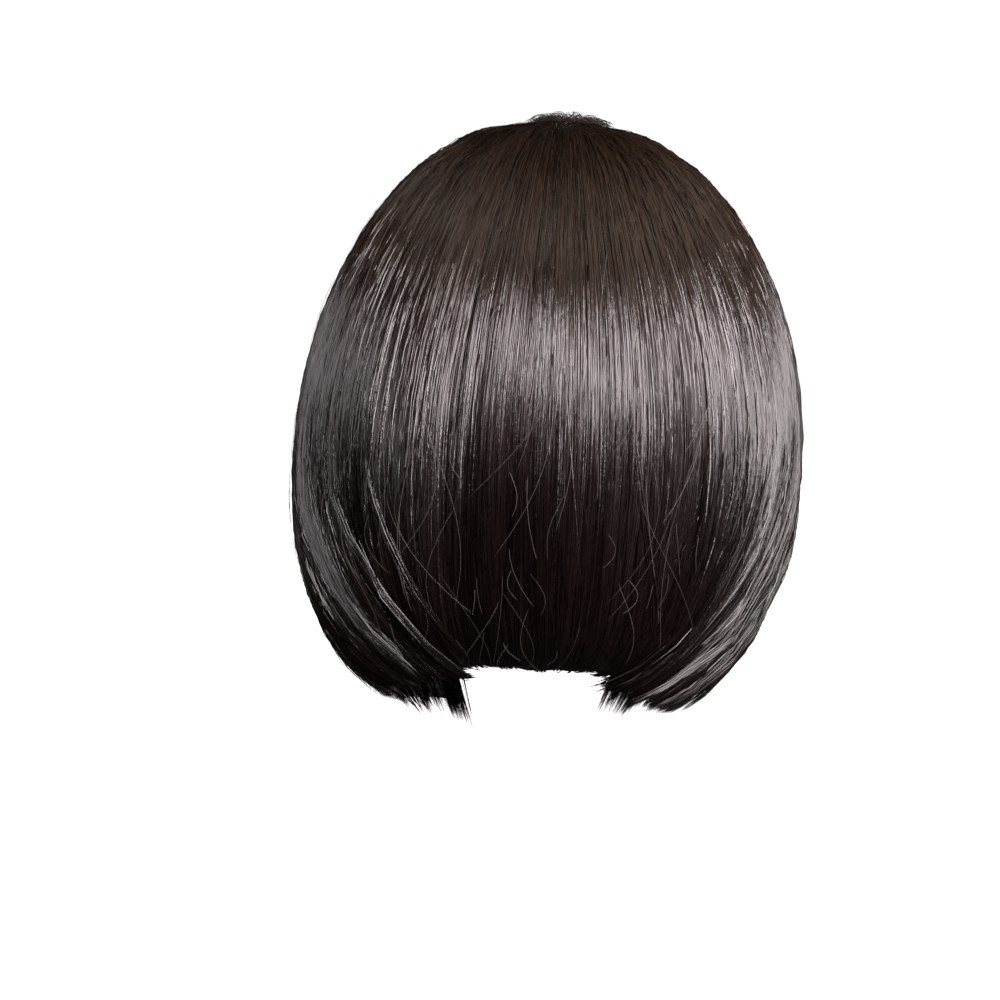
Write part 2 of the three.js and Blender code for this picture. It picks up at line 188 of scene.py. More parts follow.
net_mix.data_type = "RGBA"
net_mix.inputs[7].default_value = (0.004, 0.003, 0.003, 1)
net_row_edge = nodes.new("ShaderNodeMath")
net_row_edge.operation = "GREATER_THAN"
net_row_edge.inputs[1].default_value = 0.8
links.new(net_rows.outputs["Fac"], net_row_edge.inputs[0])
links.new(net_row_edge.outputs[0], net_mix.inputs["Factor"])
links.new(net_shade.outputs["Color"], net_mix.inputs[6])
links.new(net_mix.outputs[2], net_shader.inputs["Base Color"])
net_bump = nodes.new("ShaderNodeBump")
net_bump.inputs["Strength"].default_value = 0.5
net_bump.inputs["Distance"].default_value = 0.0004
links.new(net_threads.outputs["Distance"], net_bump.inputs["Height"])
links.new(net_bump.outputs["Normal"], net_shader.inputs["Normal"])
cap.data.materials.clear()
cap.data.materials.append(net)
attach(cap, "root")
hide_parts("cap")


# The back section is the largest sheet of hair. It falls from the crown over the back of the head, rounds
# out at its widest level and tucks in to a short blunt hem at the nape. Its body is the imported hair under
# the surface, and thousands of fine strands lie combed over it.
CROWN_DEPTH = 0.017
CROWN_FORWARD = 0.045
DOME_FULLNESS = 1.18
SIDE_DEPTH = 0.0405
BACK_DEPTH = 0.025
FRONT_DEPTH = 0.027
BACK_LEVEL = 0.1065
FRINGE_SIDE_DEPTH = 0.0255
FRINGE_DEPTH = 0.015
FRINGE_LEVEL = 0.0722
LONG_AZIMUTH = (-142, -115, -90, -60, -30, 0, 30, 60, 90, 115, 142)
LONG_FULLNESS = (0.93, 0.955, 0.975, 0.98, 0.99, 1.0, 0.99, 0.985, 0.985, 0.97, 0.93)
LONG_WIDEST = (0.43, 0.49, 0.55, 0.515, 0.53, 0.53, 0.54, 0.56, 0.63, 0.55, 0.42)
LONG_HEM = (0.89, 0.74, 0.58, 0.33, 0.07, 0.0, 0.06, 0.29, 0.56, 0.82, 1.0)
LONG_TUCK = (0.61, 0.59, 0.59, 0.62, 0.68, 0.69, 0.69, 0.67, 0.66, 0.62, 0.64)
LONG = {
    "azimuth": LONG_AZIMUTH,
    "fullness": LONG_FULLNESS,
    "widest": LONG_WIDEST,
    "hem": LONG_HEM,
    "tuck": LONG_TUCK,
    "width": HEAD_WIDTH + 2 * SIDE_DEPTH,
    "back": HEAD_LENGTH / 2 + BACK_DEPTH,
    "front": HEAD_LENGTH / 2 + FRONT_DEPTH,
    "short": 0.201,
    "long": 0.297,
}
WIDEST_AT = 0.62
TUCK_ANGLE = math.radians(62)
SWEEP_ANGLE = 34
SECTION_WALL = 0.046
FACE_WALL = 0.020
TIP_WALL = 0.004
BODY_DEPTH = 0.0026
SURFACE_DEPTH = 0.0006
LOWER_WIDTH = 0.00066
TOP_WIDTH = 0.00054
INNER_WIDTH = 0.00050
EDGE_WIDTH = 0.00040
LOWER_DEPTH = (0.0010, 0.0034)
TOP_DEPTH = (0.0000, 0.0012)
INNER_DEPTH = (0.0034, 0.0068)
VALLEY_PITCH = 12
VALLEY_DEPTH = 0.0014
PARTING_LEFT = 41
PARTING_RIGHT = -57
PARTING_DEPTH = 0.0026
KEPT_DROP = 0.35
THINNEST_BODY = 0.0008


def strand(style, azimuth, way):
    """The radius and height of a combed strand at a share of its way from the crown to its tip."""
    reach = egg(azimuth, style["width"], style["back"], style["front"])
    reach = reach * through(style["azimuth"], style["fullness"], azimuth)
    hem_share = through(style["azimuth"], style["hem"], azimuth)
    hem = -(style["short"] + (style["long"] - style["short"]) * hem_share)
    widest = hem * through(style["azimuth"], style["widest"], azimuth)
    dome = np.clip(way / WIDEST_AT, 0, 1) * math.pi / 2
    dome_radius = reach * np.sin(dome) ** (1 / DOME_FULLNESS)
    dome_height = CROWN_DEPTH - (CROWN_DEPTH - widest) * (1 - np.cos(dome))
    tuck = np.maximum(way - WIDEST_AT, 0) / (1 - WIDEST_AT) * TUCK_ANGLE
    inward = (1 - np.cos(tuck)) / (1 - math.cos(TUCK_ANGLE))
    tip = 1 - (1 - through(style["azimuth"], style["tuck"], azimuth)) * inward
    drop = np.sin(tuck) / math.sin(TUCK_ANGLE)
    over = way < WIDEST_AT
    radius = np.where(over, dome_radius, reach * tip)
    height = np.where(over, dome_height, widest + (hem - widest) * drop)
    return radius, height


def dome_height(across, along):
    """The height of the hair's dome over points of the plan."""
    azimuth = np.degrees(np.arctan2(across, along))
    back, front = HEAD_LENGTH / 2 + BACK_DEPTH, HEAD_LENGTH / 2 + FRINGE_DEPTH
    reach = egg(azimuth, HEAD_WIDTH + 2 * SIDE_DEPTH, back, front)
    share = np.minimum(np.hypot(across, along) / reach, 1) ** DOME_FULLNESS
    widest = FRINGE_LEVEL + (BACK_LEVEL - FRINGE_LEVEL) * (1 + np.cos(np.radians(azimuth))) / 2
    return CROWN_DEPTH - (CROWN_DEPTH + widest) * (1 - np.sqrt(1 - share**2))


def combed_forward(points):
    """Points of the hair moved forward over the dome, so that all strands meet before the head's axis."""
    across, along, height = np.moveaxis(points, -1, 0)
    azimuth = np.degrees(np.arctan2(across, along))
    back, front = HEAD_LENGTH / 2, HEAD_LENGTH / 2 + FRINGE_DEPTH
    edge = 0.92 * egg(azimuth, HEAD_WIDTH + 2 * FRINGE_SIDE_DEPTH, back, front)
    share = np.minimum(np.hypot(across, along) / edge, 1)
    lift = smooth(-CROWN_HEIGHT, -CROWN_HEIGHT / 4, height)
    moved = along - CROWN_FORWARD * (1 - share**2) ** 2 * lift
    rise = dome_height(across, moved) - dome_height(across, along)
    return np.stack((across, moved, height + rise * lift), axis=-1)


def sunk(azimuth, radius, height, depth):
    """A point of the hair moved in by a depth."""
    centre = np.minimum(height, -CROWN_HEIGHT)
    share = depth / np.hypot(radius, height - centre)
    return combed_forward(place(azimuth, radius * (1 - share), height + (centre - height) * share))


def swell(azimuth, way):
    """The soft unevenness of combed hair: locks parted by shallow valleys, deeper towards the tips."""
    broad = np.sin(0.21 * azimuth + 2.0 + 2.6 * way) + 0.6 * np.sin(0.47 * azimuth + 0.7 - 3.1 * way)
    narrow = np.sin(1.13 * azimuth + 4.1 + 4.0 * way) + 0.7 * np.sin(1.97 * azimuth + 1.3 - 5.0 * way)
    turn = azimuth + 1.6 * np.sin(0.13 * azimuth + 3 * way)
    valley = 1 - np.abs(np.sin(np.pi * (turn + 66) / VALLEY_PITCH))
    uneven = (0.0005 * broad + 0.00022 * narrow) * smooth(0.05, 0.75, way)
    partings = np.exp(-(((turn - PARTING_LEFT) / 2.4) ** 2))
    partings = partings + 0.8 * np.exp(-(((turn - PARTING_RIGHT) / 2.0) ** 2))
    valleys = VALLEY_DEPTH * valley**2 * smooth(0.25, 0.9, way)
    return uneven + valleys + PARTING_DEPTH * partings * smooth(0.3, 0.65, way)


def hair_point(style, azimuth, way, depth, root=None):
    """A point of the hair. A strand swept aside keeps some of the drop it has at its root's azimuth."""
    radius, height = strand(style, azimuth, way)
    if root is not None:
        height = height + KEPT_DROP * (strand(style, root, way)[1] - height)
    return sunk(azimuth, radius, height, depth + SURFACE_DEPTH + swell(azimuth, way))


def wall_depth(azimuth, way):
    """How thick the hair is, less by the face and at the tips."""
    root = SECTION_WALL + (FACE_WALL - SECTION_WALL) * smooth(95, 142, np.abs(azimuth))
    return root + (TIP_WALL - root) * np.clip((way - 0.5) / 0.5, 0, 1)


def to_the_cap(style, azimuth, way, depth):
    """A depth cut short where it would reach the cap, the head or the neck."""
    radius, height = strand(style, azimuth, way)
    near = np.full_like(radius, 0.0)
    far = depth + 0 * radius
    for _ in range(22):
        half = (near + far) / 2
        point = sunk(azimuth, radius, height, half)
        turned = np.degrees(np.arctan2(point[..., 0], point[..., 1]))
        across = np.hypot(point[..., 0], point[..., 1])
        clear = across > head_radius(turned, point[..., 2], CAP_CLEARANCE)
        near = np.where(clear, half, near)
        far = np.where(clear, far, half)
    return near


def hair_body(name, style, span, ways, columns, rows, outer_depth, inner_depth):
    """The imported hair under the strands: a grid shaped over the head, then extruded down to the cap."""
    bpy.ops.object.select_all(action="DESELECT")
    bpy.ops.mesh.primitive_grid_add(x_subdivisions=columns, y_subdivisions=rows, size=1)
    body = bpy.context.active_object
    body.name = name
    share = points_of(body.data)[:, :2] + 0.5
    bpy.ops.object.mode_set(mode="EDIT")
    bpy.ops.mesh.select_all(action="SELECT")
    bpy.ops.mesh.extrude_region_move()
    bpy.ops.object.mode_set(mode="OBJECT")
    drawn = np.empty(len(body.data.vertices), bool)
    body.data.vertices.foreach_get("select", drawn)
    flat = points_of(body.data)[:, :2] + 0.5
    azimuth = span[0] + (span[1] - span[0]) * flat[:, 0]
    way = ways[0] + (ways[1] - ways[0]) * flat[:, 1]
    outer = outer_depth(azimuth, way)
    inner = np.maximum(to_the_cap(style, azimuth, way, inner_depth(azimuth, way)), outer + THINNEST_BODY)
    depth = np.where(drawn, inner, outer)
    body.data.vertices.foreach_set("co", hair_point(style, azimuth, way, depth).ravel())
    bpy.ops.object.mode_set(mode="EDIT")
    bpy.ops.mesh.select_all(action="SELECT")
    bpy.ops.mesh.normals_make_consistent(inside=False)
    bpy.ops.object.mode_set(mode="OBJECT")
    bpy.ops.object.shade_smooth_by_angle(angle=math.radians(50))
    return body


# Half the turn of the surface across one strand.
SPREAD = math.radians(40)


def strand_mesh(name, centres, widths, tones, rolls, tilts):
    """One joined mesh of closed three-sided strands, each drawn to a point at both ends.

    rolls turns each strand's shading about its length and tilts along it, so that locks look round.
    """
    count, steps = centres.shape[:2]
    rings = steps - 2
    along = np.gradient(centres, axis=1)
    along /= np.linalg.norm(along, axis=2, keepdims=True)
    hub = np.zeros_like(centres)
    hub[..., 2] = np.minimum(centres[..., 2], -CROWN_HEIGHT)
    side = np.cross(along, centres - hub)
    side /= np.linalg.norm(side, axis=2, keepdims=True)
    out = np.cross(side, along)
    corners = np.radians((90, 210, 330))
    spread = side[:, 1:-1, None] * np.cos(corners)[:, None] + out[:, 1:-1, None] * np.sin(corners)[:, None]
    ring = centres[:, 1:-1, None] + spread * (widths[:, 1:-1, None, None] / 2)
    points = np.concatenate((centres[:, :1], ring.reshape(count, 3 * rings, 3), centres[:, -1:]), axis=1)
    each = points.shape[1]
    k = np.arange(3)
    after = (k + 1) % 3
    first = 1 + 3 * np.arange(rings - 1)[:, None]
    quads = np.stack((first + 3 + k, first + 3 + after, first + after, first + k), axis=-1).reshape(-1, 4)
    root = np.stack((0 * k, 1 + k, 1 + after), axis=-1)
    last = 1 + 3 * (rings - 1)
    tip = np.stack((0 * k + each - 1, last + after, last + k), axis=-1)
    base = each * np.arange(count)[:, None, None]
    corner_quads = (quads[None] + base).reshape(-1)
    corner_ends = (np.concatenate((root, tip))[None] + base).reshape(-1)
    corner = np.concatenate((corner_quads, corner_ends)).astype(np.int32)
    quad_count = corner_quads.size // 4
    end_count = corner_ends.size // 3
    starts = np.concatenate((4 * np.arange(quad_count), 4 * quad_count + 3 * np.arange(end_count)))
    mesh = bpy.data.meshes.new(name)
    mesh.vertices.add(count * each)
    mesh.loops.add(corner.size)
    mesh.polygons.add(quad_count + end_count)
    mesh.vertices.foreach_set("co", points.ravel())
    mesh.loops.foreach_set("vertex_index", corner)
    mesh.polygons.foreach_set("loop_start", starts.astype(np.int32))
    mesh.polygons.foreach_set("use_smooth", np.ones(quad_count + end_count, bool))
    mesh.update(calc_edges=True)
    turn = rolls[:, :, None] + np.array((0, -SPREAD, SPREAD))
    facing = side[:, :, None] * np.sin(turn)[..., None] + out[:, :, None] * np.cos(turn)[..., None]
    facing = facing + along[:, :, None] * np.tan(tilts)[:, :, None, None]
    middle = facing[:, 1:-1].reshape(count, 3 * rings, 3)
    facing = np.concatenate((facing[:, 0, :1], middle, facing[:, -1, :1]), axis=1)
    facing /= np.linalg.norm(facing, axis=2, keepdims=True)
    mesh.normals_split_custom_set_from_vertices(facing.reshape(-1, 3))
    share = np.concatenate(([0.0], np.repeat(np.arange(1, steps - 1) / (steps - 1), 3), [1.0]))
    pair = np.stack(np.broadcast_arrays(tones[:, None], share[None]), axis=-1).reshape(-1, 2)
    uv = mesh.uv_layers.new(name="strand")
    uv.data.foreach_set("uv", pair[corner].ravel())
    piece = bpy.data.objects.new(name, mesh)
    bpy.context.scene.collection.objects.link(piece)
    return piece


def random_of(lock, salt):
    """A steady random share for each lock."""
    seed = np.sin(lock * 12.9898 + salt * 78.233) * 43758.5453
    return seed - np.floor(seed)


# Where the hair bends sooner its shine moves up towards the crown, and where it bends later, down. Each row
# is a tilt, the azimuth of its middle, its half width, and the part of the way over which it sets in.
SHINE_SHIFTS = (
    (0.09, 5, 10, 0.34, 0.46),
    (-0.13, 26, 8, 0.34, 0.46),
    (-0.15, -56, 15, 0.26, 0.38),
    (0.3, 64, 16, 0.74, 0.9),
)


def shading(rng, azimuth, way, across):
    """The roll and tilt of strands that lie across a lock from -1 to 1."""
    count = len(way)
    early = 0 * way
    for lean, middle, width, sets_in, full in SHINE_SHIFTS:
        early = early + lean * np.exp(-(((azimuth - middle) / width) ** 2)) * smooth(sets_in, full, way)
    roll = 0.55 * across * smooth(0.25, 0.8, way) + rng.normal(0, 0.36, (count, 1))
    roll = roll + rng.normal(0, 0.14, way.shape)
    tilt = rng.normal(0, 0.04, (count, 1)) + rng.normal(0, 0.07, (count, 1)) * smooth(0.35, 0.75, way)
    tilt = tilt + rng.normal(0, 0.035, way.shape)
    return roll, tilt + early


GATHER = 0.55
CROSSING_SHARE = 0.08
LOCK_RELIEF = 0.0014
ROOT_COVER = 0.0016
WAVE_HEIGHT = 0.0006
RIPPLE_HEIGHT = 0.00025
TIP_FRAY = 0.0012


def comb(
    rng, style, span, count, width, depth, steps=13, start=(0.012, 0.45), end=(0.96, 1.03), pitch=4, stray=1
):
    """Strands combed from the crown, gathered towards the tips into locks pitch degrees wide."""
    azimuth = rng.uniform(span[0], span[1], count)
    lock = np.floor(azimuth / pitch + 0.5 * np.sin(azimuth * 1.7) + 0.5 * np.sin(azimuth * 0.37))
    lock_a = random_of(lock, 1)
    lock_b = random_of(lock, 2)
    lock_c = random_of(lock, 3)[:, None]
    low = start[0] + (start[1] - start[0]) * rng.uniform(0, 1, count) ** 1.3
    high = end[0] + (end[1] - end[0]) * (0.55 * lock_b + 0.45 * rng.uniform(0, 1, count))
    even = np.linspace(0, 1, steps)[None]
    t = even + rng.uniform(-0.3, 0.3, (count, 1)) / steps * np.sin(np.pi * even)
    way = low[:, None] + (high - low)[:, None] * t
    root = azimuth[:, None] + 0 * way
    middle = (lock + 0.5 + 0.5 * (lock_a - 0.5)) * pitch
    middle = np.clip(middle, azimuth - 0.6 * pitch, azimuth + 0.6 * pitch)
    path = root + (middle - azimuth)[:, None] * GATHER * smooth(0.62, 1.0, way)
    sway = rng.normal(0, 1, (count, 1)) * 0.4 + rng.normal(0, 1, (count, 1)) * smooth(0.4, 1.0, way) * 0.9
    cross = np.where(rng.uniform(0, 1, (count, 1)) < CROSSING_SHARE, rng.normal(0, 6, (count, 1)), 0)
    lean = (lock_b[:, None] - 0.5) * 4.0 * smooth(0.6, 1, way)
    path = path + stray * (sway + cross * smooth(0.3, 1.0, way) + lean)
    swept = smooth(26, 66, np.abs(root)) * (1 - smooth(100, 128, np.abs(root)))
    swept = swept * (0.7 + 0.5 * lock_c) * (1 - 0.6 * smooth(78, 96, root))
    path = path - np.sign(root) * SWEEP_ANGLE * swept * smooth(0.56, 1.06, way)
    deep = depth[0] + (depth[1] - depth[0]) * rng.uniform(0, 1, (count, 1)) ** 1.2
    deep = deep + LOCK_RELIEF * lock_c * smooth(0.35, 0.8, way)
    rise = np.where(low[:, None] > 0.06, ROOT_COVER * (1 - smooth(0, 0.12, t)), 0)
    turn = 2 * np.pi * (way * 2.3 + lock_a[:, None])
    wave = WAVE_HEIGHT * np.sin(turn) * smooth(0.4, 0.7, way)
    wave = wave + RIPPLE_HEIGHT * np.sin(2 * np.pi * (way * 3.1 + rng.uniform(0, 1, (count, 1))))
    tips = rng.normal(0, TIP_FRAY, (count, 1)) * smooth(0.85, 1.0, way)
    centres = hair_point(style, path, way, deep + rise + wave + np.abs(tips), root)
    girth = width * rng.uniform(0.7, 1.3, (count, 1)) * (0.45 + 0.55 * smooth(0, 0.12, t))
    girth = girth * (1 - 0.45 * smooth(0.8, 1, t))
    tone = np.clip(0.6 * rng.uniform(0, 1, count) + 0.4 * lock_a, 0, 1)
    across = np.clip((azimuth - middle) / (0.6 * pitch), -1, 1)[:, None]
    return centres, girth, tone, *shading(rng, path, way, across)


BUNDLE_DEPTH = 0.0012
BUNDLE_WIDTH = (0.00028, 0.00042)


def lock_of(rng, style, azimuth, tip, ways, half_width, lift, count, steps=13, turns_at=0.55, twist=0.0):
    """A lock that lies over the others and sweeps from one azimuth to another: a round bundle of strands.

    twist turns its lower part up to the light.
    """
    across = np.clip(rng.normal(0, 0.5, (count, 1)), -1, 1)
    t = np.linspace(0, 1, steps)[None] + 0 * across
    low = ways[0] + rng.uniform(0, 0.12, (count, 1))
    high = ways[1] - rng.uniform(0, 0.05, (count, 1)) - 0.03 * np.abs(across)
    way = low + (high - low) * t
    gather = 1 - 0.55 * smooth(0.6, 1, way)
    path = azimuth + (tip - azimuth) * smooth(turns_at, 1.08, way) + half_width * across * gather
    path = path + rng.normal(0, 0.5, (count, 1)) * smooth(0.3, 1, way)
    top = lift * (1 - across**2) * smooth(0.2, 0.7, t) - BUNDLE_DEPTH * rng.uniform(0, 1, (count, 1))
    root = azimuth + half_width * across
    centres = hair_point(style, path, way, 0.0004 - top + 0.002 * (1 - smooth(0, 0.1, t)), root + 0 * way)
    girth = rng.uniform(*BUNDLE_WIDTH, (count, 1))
    girth = girth * (0.5 + 0.5 * smooth(0, 0.1, t)) * (1 - 0.5 * smooth(0.8, 1, t))
    roll = (0.6 - 0.5 * twist) * across + rng.normal(0, 0.22, (count, 1)) + 0 * way
    tilt = rng.normal(0, 0.05, (count, 1)) + rng.normal(0, 0.05, way.shape)
    tilt = tilt - twist * smooth(0.5, 0.8, way)
    return centres, girth, rng.uniform(0.2, 0.9, count), roll, tilt


def strands(name, batches):
    """Joins batches of combed strands with as many steps into one piece."""
    return strand_mesh(name, *(np.concatenate(group) for group in zip(*batches)))


# Dark brown fibre, almost black, with a soft grey shine. Each strand has its own tone and gloss. The base
# colour is painted paler and warmer near the crown and darker lower down: painted light at the top and
# painted shade on the lower hair.
fibre, nodes, links = node_tree("dark_fibre")
fibre_shader = nodes["Principled BSDF"]
fibre_shader.inputs["IOR"].default_value = 1.55
fibre_uv = nodes.new("ShaderNodeUVMap")
fibre_uv.uv_map = "strand"
fibre_split = nodes.new("ShaderNodeSeparateXYZ")
links.new(fibre_uv.outputs["UV"], fibre_split.inputs["Vector"])
# Shaded copy of the strand tones, used low on the hair as painted shade.
fibre_shaded_tones = nodes.new("ShaderNodeValToRGB")
fibre_shaded_tones.color_ramp.elements[0].color = (0.0006, 0.0003, 0.0002, 1)
fibre_shaded_tones.color_ramp.elements[1].color = (0.0046, 0.0022, 0.0014, 1)
links.new(fibre_split.outputs["X"], fibre_shaded_tones.inputs["Fac"])
# Lit copy of the strand tones, used near the crown as painted light.
fibre_lit_tones = nodes.new("ShaderNodeValToRGB")
fibre_lit_tones.color_ramp.elements[0].color = (0.0040, 0.0022, 0.0012, 1)
fibre_lit_tones.color_ramp.elements[1].color = (0.0200, 0.0112, 0.0066, 1)
links.new(fibre_split.outputs["X"], fibre_lit_tones.inputs["Fac"])
fibre_place = nodes.new("ShaderNodeTexCoord")
fibre_place_split = nodes.new("ShaderNodeSeparateXYZ")
links.new(fibre_place.outputs["Object"], fibre_place_split.inputs["Vector"])
# Painted shade by height: the base colour runs from the shaded tones low down to the lit tones near the
# crown.
painted_shade_by_height = nodes.new("ShaderNodeMapRange")
painted_shade_by_height.inputs["From Min"].default_value = -0.105
painted_shade_by_height.inputs["From Max"].default_value = -0.012
links.new(fibre_place_split.outputs["Z"], painted_shade_by_height.inputs["Value"])
fibre_painted_shade_mix = nodes.new("ShaderNodeMix")
fibre_painted_shade_mix.data_type = "RGBA"
links.new(painted_shade_by_height.outputs["Result"], fibre_painted_shade_mix.inputs["Factor"])
links.new(fibre_shaded_tones.outputs["Color"], fibre_painted_shade_mix.inputs[6])
links.new(fibre_lit_tones.outputs["Color"], fibre_painted_shade_mix.inputs[7])
links.new(fibre_painted_shade_mix.outputs[2], fibre_shader.inputs["Base Color"])
fibre_gloss = nodes.new("ShaderNodeMapRange")
fibre_gloss.inputs["To Min"].default_value = 0.21
fibre_gloss.inputs["To Max"].default_value = 0.35
links.new(fibre_split.outputs["X"], fibre_gloss.inputs["Value"])
links.new(fibre_gloss.outputs["Result"], fibre_shader.inputs["Roughness"])
fibre_crimp = nodes.new("ShaderNodeMapping")
fibre_crimp.inputs["Scale"].default_value = (90, 80, 1)
links.new(fibre_uv.outputs["UV"], fibre_crimp.inputs["Vector"])
fibre_wave = nodes.new("ShaderNodeTexNoise")
fibre_wave.inputs["Scale"].default_value = 1
fibre_wave.inputs["Detail"].default_value = 3
links.new(fibre_crimp.outputs["Vector"], fibre_wave.inputs["Vector"])
fibre_bump = nodes.new("ShaderNodeBump")
fibre_bump.inputs["Strength"].default_value = 0.7
fibre_bump.inputs["Distance"].default_value = 0.00045
links.new(fibre_wave.outputs["Fac"], fibre_bump.inputs["Height"])
links.new(fibre_bump.outputs["Normal"], fibre_shader.inputs["Normal"])

# The same hair where it is packed close: streaks of light and dark along the combing, without loose fibres.
packed, nodes, links = node_tree("packed_hair")
packed_shader = nodes["Principled BSDF"]
packed_shader.inputs["IOR"].default_value = 1.55
packed_shader.inputs["Roughness"].default_value = 0.42
packed_uv = nodes.new("ShaderNodeUVMap")
packed_uv.uv_map = "UVMap"
packed_stretch = nodes.new("ShaderNodeMapping")
packed_stretch.inputs["Scale"].default_value = (420, 5, 1)
links.new(packed_uv.outputs["UV"], packed_stretch.inputs["Vector"])
packed_noise = nodes.new("ShaderNodeTexNoise")
packed_noise.inputs["Scale"].default_value = 1
packed_noise.inputs["Detail"].default_value = 4
links.new(packed_stretch.outputs["Vector"], packed_noise.inputs["Vector"])
packed_tone = nodes.new("ShaderNodeValToRGB")
packed_tone.color_ramp.elements[0].position = 0.35
packed_tone.color_ramp.elements[0].color = (0.0008, 0.0004, 0.0004, 1)
packed_tone.color_ramp.elements[1].position = 0.7
packed_tone.color_ramp.elements[1].color = (0.0026, 0.0012, 0.0008, 1)
links.new(packed_noise.outputs["Fac"], packed_tone.inputs["Fac"])
links.new(packed_tone.outputs["Color"], packed_shader.inputs["Base Color"])
packed_bump = nodes.new("ShaderNodeBump")
packed_bump.inputs["Strength"].default_value = 0.8
packed_bump.inputs["Distance"].default_value = 0.0005
links.new(packed_noise.outputs["Fac"], packed_bump.inputs["Height"])
links.new(packed_bump.outputs["Normal"], packed_shader.inputs["Normal"])


def finish_hair(piece, material, slot, *stands_for):
    piece.data.materials.clear()
    piece.data.materials.append(material)
    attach(piece, "root")
    if stands_for:
        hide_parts(*stands_for)


def packed_outer(azimuth, way):
    return BODY_DEPTH + 0 * way


back_body = hair_body("back_hair_body", LONG, (-66, 66), (0.016, 0.985), 90, 44, packed_outer, wall_depth)
finish_hair(back_body, packed, "hair", "hair_back")
rng = np.random.default_rng(11)
back_left = strands(
    "back_hair_strands_left",
    [
        comb(rng, LONG, (-4, 68), 1350, LOWER_WIDTH, LOWER_DEPTH),
        comb(rng, LONG, (-4, 68), 1050, TOP_WIDTH, TOP_DEPTH),
    ],
)
finish_hair(back_left, fibre, "hair")
back_right = strands(
    "back_hair_strands_right",
    [
        comb(rng, LONG, (-68, 4), 1350, LOWER_WIDTH, LOWER_DEPTH),
        comb(rng, LONG, (-68, 4), 1050, TOP_WIDTH, TOP_DEPTH),
    ],
)
finish_hair(back_right, fibre, "hair")


# The side sections hang over the ears. They are the fullest part of the wig, and their tips curl under
# and sweep back towards the nape.
for side_name, span, seed in (("left", (66, 112), 21), ("right", (-112, -66), 22)):
    side_body = hair_body(
        f"side_{side_name}_body", LONG, span, (0.016, 0.985), 36, 44, packed_outer, wall_depth
    )
    finish_hair(side_body, packed, "hair", f"hair_side_{side_name}")
    rng = np.random.default_rng(seed)
    reach = (span[0] - 2, span[1] + 2)
    side_strands = strands(
        f"side_{side_name}_strands",
        [
            comb(rng, LONG, reach, 750, LOWER_WIDTH, LOWER_DEPTH),
            comb(rng, LONG, reach, 600, TOP_WIDTH, TOP_DEPTH),
            comb(rng, LONG, reach, 200, INNER_WIDTH, INNER_DEPTH, start=(0.55, 0.85)),
        ],
    )
    finish_hair(side_strands, fibre, "hair")


# Over the sides lie a few fuller locks that sweep from the temples to the nape. They are the same fibre,
# gathered by the comb into round bundles that stand a little off the sheet and catch the light.
rng = np.random.default_rng(25)
sweeping = strands(
    "sweeping_locks",
    [
        lock_of(rng, LONG, 64, 32, (0.18, 0.99), 4.5, 0.0028, 150, turns_at=0.55, twist=0.35),
        lock_of(rng, LONG, 50, 33, (0.34, 1.01), 2.5, 0.0016, 50),
        lock_of(rng, LONG, -78, -34, (0.22, 1.00), 4.0, 0.0028, 90, turns_at=0.5),
        lock_of(rng, LONG, -64, -27, (0.34, 1.00), 3.0, 0.0020, 60, turns_at=0.5),
        lock_of(rng, LONG, -90, -48, (0.24, 1.01), 4.0, 0.0026, 80),
        lock_of(rng, LONG, -102, -62, (0.28, 1.01), 4.0, 0.0020, 60),
        lock_of(rng, LONG, -50, -30, (0.40, 1.00), 2.5, 0.0014, 40),
        lock_of(rng, LONG, -84, -20, (0.45, 1.00), 2.0, 0.0024, 36),
        lock_of(rng, LONG, 60, 14, (0.40, 0.98), 1.6, 0.0018, 30, turns_at=0.42),
        lock_of(rng, LONG, 44, 12, (0.36, 0.94), 1.2, 0.0016, 24, turns_at=0.40),
        lock_of(rng, LONG, -16, -32, (0.40, 0.98), 1.2, 0.0016, 24, turns_at=0.45),
    ],
)
finish_hair(sweeping, fibre, "hair")


# The front locks are the longest hair. They hang before the ears and frame the face, and they thin out
# towards it, so that their inner edge is a curtain of loose strands.
CURTAIN_DEPTH = (0.0020, 0.0170)
for side_name, span, seed in (("left", (112, 142), 31), ("right", (-142, -112), 32)):
    front_body = hair_body(
        f"front_{side_name}_body", LONG, span, (0.016, 0.975), 24, 44, packed_outer, wall_depth
    )
    finish_hair(front_body, packed, "hair", f"front_lock_{side_name}")
    rng = np.random.default_rng(seed)
    reach = (span[0] - 2, span[1] + 1)
    edge = (139.5, 143) if span[0] > 0 else (-143, -139.5)
    front_strands = strands(
        f"front_{side_name}_strands",
        [
            comb(rng, LONG, reach, 420, INNER_WIDTH, LOWER_DEPTH),
            comb(rng, LONG, reach, 330, EDGE_WIDTH, TOP_DEPTH),
            comb(rng, LONG, reach, 200, INNER_WIDTH, INNER_DEPTH, start=(0.55, 0.85)),
            comb(rng, LONG, edge, 200, INNER_WIDTH, CURTAIN_DEPTH, stray=0.6),
        ],
    )
    finish_hair(front_strands, fibre, "hair")


